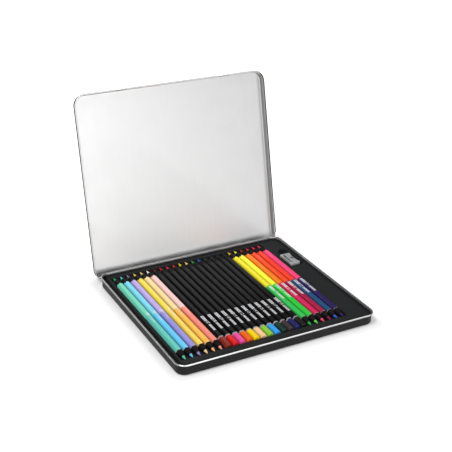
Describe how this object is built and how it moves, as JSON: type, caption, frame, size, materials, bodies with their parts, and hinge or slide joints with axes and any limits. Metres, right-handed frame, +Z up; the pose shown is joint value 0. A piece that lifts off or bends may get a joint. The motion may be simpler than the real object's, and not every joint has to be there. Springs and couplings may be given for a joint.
{
  "type": "pencil tin",
  "caption": "Flat hinged metal tin, open, with a formed tray holding a row of hexagonal coloured pencils, some sharpened at both ends, and a small metal sharpener.",
  "frame": {"origin": "centre of the base's underside, on the surface the tin stands on", "axes": "+Z up, +X along the hinge towards the sharpener, +Y from the front edge towards the hinge"},
  "size_m": [0.2288, 0.2557, 0.1995],
  "materials": {
    "black_lacquer": "satin",
    "bare_tinplate": "satin",
    "tray_plastic": "matte",
    "hinge_steel": "satin",
    "sharpener_metal": "satin",
    "blade_steel": "polished",
    "screw_steel": "satin",
    "pencil_01_wood": "gloss lacquer",
    "pencil_01_pigment": "matte",
    "pencil_02_wood": "gloss lacquer",
    "pencil_02_pigment": "matte",
    "pencil_03_wood": "gloss lacquer",
    "pencil_03_pigment": "matte",
    "pencil_04_wood": "gloss lacquer",
    "pencil_04_pigment": "matte",
    "pencil_05_wood": "gloss lacquer",
    "pencil_05_pigment": "matte",
    "pencil_06_wood": "gloss lacquer",
    "pencil_06_pigment": "matte",
    "pencil_07_wood": "gloss lacquer",
    "pencil_07_pigment": "matte",
    "pencil_08_wood": "gloss lacquer",
    "pencil_08_pigment": "matte",
    "pencil_09_wood": "gloss lacquer",
    "pencil_09_pigment": "matte",
    "pencil_10_wood": "gloss lacquer",
    "pencil_10_pigment": "matte",
    "pencil_11_wood": "gloss lacquer",
    "pencil_11_pigment": "matte",
    "pencil_12_wood": "gloss lacquer",
    "pencil_12_pigment": "matte",
    "pencil_13_wood": "gloss lacquer",
    "pencil_13_pigment": "matte",
    "pencil_14_wood": "gloss lacquer",
    "pencil_14_pigment": "matte",
    "pencil_15_wood": "gloss lacquer",
    "pencil_15_pigment": "matte",
    "pencil_16_wood": "gloss lacquer",
    "pencil_16_pigment": "matte",
    "pencil_17_wood": "gloss lacquer",
    "pencil_17_pigment": "matte",
    "pencil_18_wood": "gloss lacquer",
    "pencil_18_pigment": "matte",
    "pencil_19_wood": "gloss lacquer",
    "pencil_19_pigment": "matte",
    "pencil_20_wood": "gloss lacquer",
    "pencil_20_pigment": "matte",
    "pencil_21_wood": "gloss lacquer",
    "pencil_21_pigment": "matte",
    "pencil_22_wood": "gloss lacquer",
    "pencil_22_pigment": "matte",
    "pencil_23_wood": "gloss lacquer",
    "pencil_23_pigment": "matte",
    "pencil_24_wood": "gloss lacquer",
    "pencil_24_pigment": "matte"
  },
  "bodies": {
    "base": {"base_pan": "black_lacquer", "pencil_tray": "tray_plastic", "base_hinge_leaf_left": "hinge_steel", "base_hinge_leaf_right": "hinge_steel", "hinge_pins": "hinge_steel"},
    "lid": {"lid_pan": "bare_tinplate", "lid_hinge_leaf_left": "hinge_steel", "lid_hinge_leaf_right": "hinge_steel"},
    "sharpener": {"sharpener_body": "sharpener_metal", "sharpener_blade": "blade_steel", "sharpener_screw": "screw_steel"},
    "pencil_01": {"pencil_01_casing": "pencil_01_wood", "pencil_01_core": "pencil_01_pigment"},
    "pencil_02": {"pencil_02_casing": "pencil_02_wood", "pencil_02_core": "pencil_02_pigment"},
    "pencil_03": {"pencil_03_casing": "pencil_03_wood", "pencil_03_core": "pencil_03_pigment"},
    "pencil_04": {"pencil_04_casing": "pencil_04_wood", "pencil_04_core": "pencil_04_pigment"},
    "pencil_05": {"pencil_05_casing": "pencil_05_wood", "pencil_05_core": "pencil_05_pigment"},
    "pencil_06": {"pencil_06_casing": "pencil_06_wood", "pencil_06_core": "pencil_06_pigment"},
    "pencil_07": {"pencil_07_casing": "pencil_07_wood", "pencil_07_core": "pencil_07_pigment"},
    "pencil_08": {"pencil_08_casing": "pencil_08_wood", "pencil_08_core": "pencil_08_pigment"},
    "pencil_09": {"pencil_09_casing": "pencil_09_wood", "pencil_09_core": "pencil_09_pigment"},
    "pencil_10": {"pencil_10_casing": "pencil_10_wood", "pencil_10_core": "pencil_10_pigment"},
    "pencil_11": {"pencil_11_casing": "pencil_11_wood", "pencil_11_core": "pencil_11_pigment"},
    "pencil_12": {"pencil_12_casing": "pencil_12_wood", "pencil_12_core": "pencil_12_pigment"},
    "pencil_13": {"pencil_13_casing": "pencil_13_wood", "pencil_13_core": "pencil_13_pigment"},
    "pencil_14": {"pencil_14_casing": "pencil_14_wood", "pencil_14_core": "pencil_14_pigment"},
    "pencil_15": {"pencil_15_casing": "pencil_15_wood", "pencil_15_core": "pencil_15_pigment"},
    "pencil_16": {"pencil_16_casing": "pencil_16_wood", "pencil_16_core": "pencil_16_pigment"},
    "pencil_17": {"pencil_17_casing": "pencil_17_wood", "pencil_17_core": "pencil_17_pigment"},
    "pencil_18": {"pencil_18_casing": "pencil_18_wood", "pencil_18_core": "pencil_18_pigment"},
    "pencil_19": {"pencil_19_casing": "pencil_19_wood", "pencil_19_core": "pencil_19_pigment"},
    "pencil_20": {"pencil_20_casing": "pencil_20_wood", "pencil_20_core": "pencil_20_pigment"},
    "pencil_21": {"pencil_21_casing": "pencil_21_wood", "pencil_21_core": "pencil_21_pigment"},
    "pencil_22": {"pencil_22_casing": "pencil_22_wood", "pencil_22_core": "pencil_22_pigment"},
    "pencil_23": {"pencil_23_casing": "pencil_23_wood", "pencil_23_core": "pencil_23_pigment"},
    "pencil_24": {"pencil_24_casing": "pencil_24_wood", "pencil_24_core": "pencil_24_pigment"}
  },
  "joints": [
    {"name": "lid_hinge", "type": "hinge", "parent": "base", "child": "lid", "pos_m": [0, 0.1, 0.0036], "axis": [-1, 0, 0], "range_deg": [-103.5, 0]},
    {"name": "sharpener_lift", "type": "slide", "parent": "base", "child": "sharpener", "axis": [0, 0, 1], "range_m": [0, 0.03]},
    {"name": "pencil_01_lift", "type": "slide", "parent": "base", "child": "pencil_01", "axis": [0, 0, 1], "range_m": [0, 0.03]},
    {"name": "pencil_02_lift", "type": "slide", "parent": "base", "child": "pencil_02", "axis": [0, 0, 1], "range_m": [0, 0.03]},
    {"name": "pencil_03_lift", "type": "slide", "parent": "base", "child": "pencil_03", "axis": [0, 0, 1], "range_m": [0, 0.03]},
    {"name": "pencil_04_lift", "type": "slide", "parent": "base", "child": "pencil_04", "axis": [0, 0, 1], "range_m": [0, 0.03]},
    {"name": "pencil_05_lift", "type": "slide", "parent": "base", "child": "pencil_05", "axis": [0, 0, 1], "range_m": [0, 0.03]},
    {"name": "pencil_06_lift", "type": "slide", "parent": "base", "child": "pencil_06", "axis": [0, 0, 1], "range_m": [0, 0.03]},
    {"name": "pencil_07_lift", "type": "slide", "parent": "base", "child": "pencil_07", "axis": [0, 0, 1], "range_m": [0, 0.03]},
    {"name": "pencil_08_lift", "type": "slide", "parent": "base", "child": "pencil_08", "axis": [0, 0, 1], "range_m": [0, 0.03]},
    {"name": "pencil_09_lift", "type": "slide", "parent": "base", "child": "pencil_09", "axis": [0, 0, 1], "range_m": [0, 0.03]},
    {"name": "pencil_10_lift", "type": "slide", "parent": "base", "child": "pencil_10", "axis": [0, 0, 1], "range_m": [0, 0.03]},
    {"name": "pencil_11_lift", "type": "slide", "parent": "base", "child": "pencil_11", "axis": [0, 0, 1], "range_m": [0, 0.03]},
    {"name": "pencil_12_lift", "type": "slide", "parent": "base", "child": "pencil_12", "axis": [0, 0, 1], "range_m": [0, 0.03]},
    {"name": "pencil_13_lift", "type": "slide", "parent": "base", "child": "pencil_13", "axis": [0, 0, 1], "range_m": [0, 0.03]},
    {"name": "pencil_14_lift", "type": "slide", "parent": "base", "child": "pencil_14", "axis": [0, 0, 1], "range_m": [0, 0.03]},
    {"name": "pencil_15_lift", "type": "slide", "parent": "base", "child": "pencil_15", "axis": [0, 0, 1], "range_m": [0, 0.03]},
    {"name": "pencil_16_lift", "type": "slide", "parent": "base", "child": "pencil_16", "axis": [0, 0, 1], "range_m": [0, 0.03]},
    {"name": "pencil_17_lift", "type": "slide", "parent": "base", "child": "pencil_17", "axis": [0, 0, 1], "range_m": [0, 0.03]},
    {"name": "pencil_18_lift", "type": "slide", "parent": "base", "child": "pencil_18", "axis": [0, 0, 1], "range_m": [0, 0.03]},
    {"name": "pencil_19_lift", "type": "slide", "parent": "base", "child": "pencil_19", "axis": [0, 0, 1], "range_m": [0, 0.03]},
    {"name": "pencil_20_lift", "type": "slide", "parent": "base", "child": "pencil_20", "axis": [0, 0, 1], "range_m": [0, 0.03]},
    {"name": "pencil_21_lift", "type": "slide", "parent": "base", "child": "pencil_21", "axis": [0, 0, 1], "range_m": [0, 0.03]},
    {"name": "pencil_22_lift", "type": "slide", "parent": "base", "child": "pencil_22", "axis": [0, 0, 1], "range_m": [0, 0.03]},
    {"name": "pencil_23_lift", "type": "slide", "parent": "base", "child": "pencil_23", "axis": [0, 0, 1], "range_m": [0, 0.03]},
    {"name": "pencil_24_lift", "type": "slide", "parent": "base", "child": "pencil_24", "axis": [0, 0, 1], "range_m": [0, 0.03]}
  ]
}
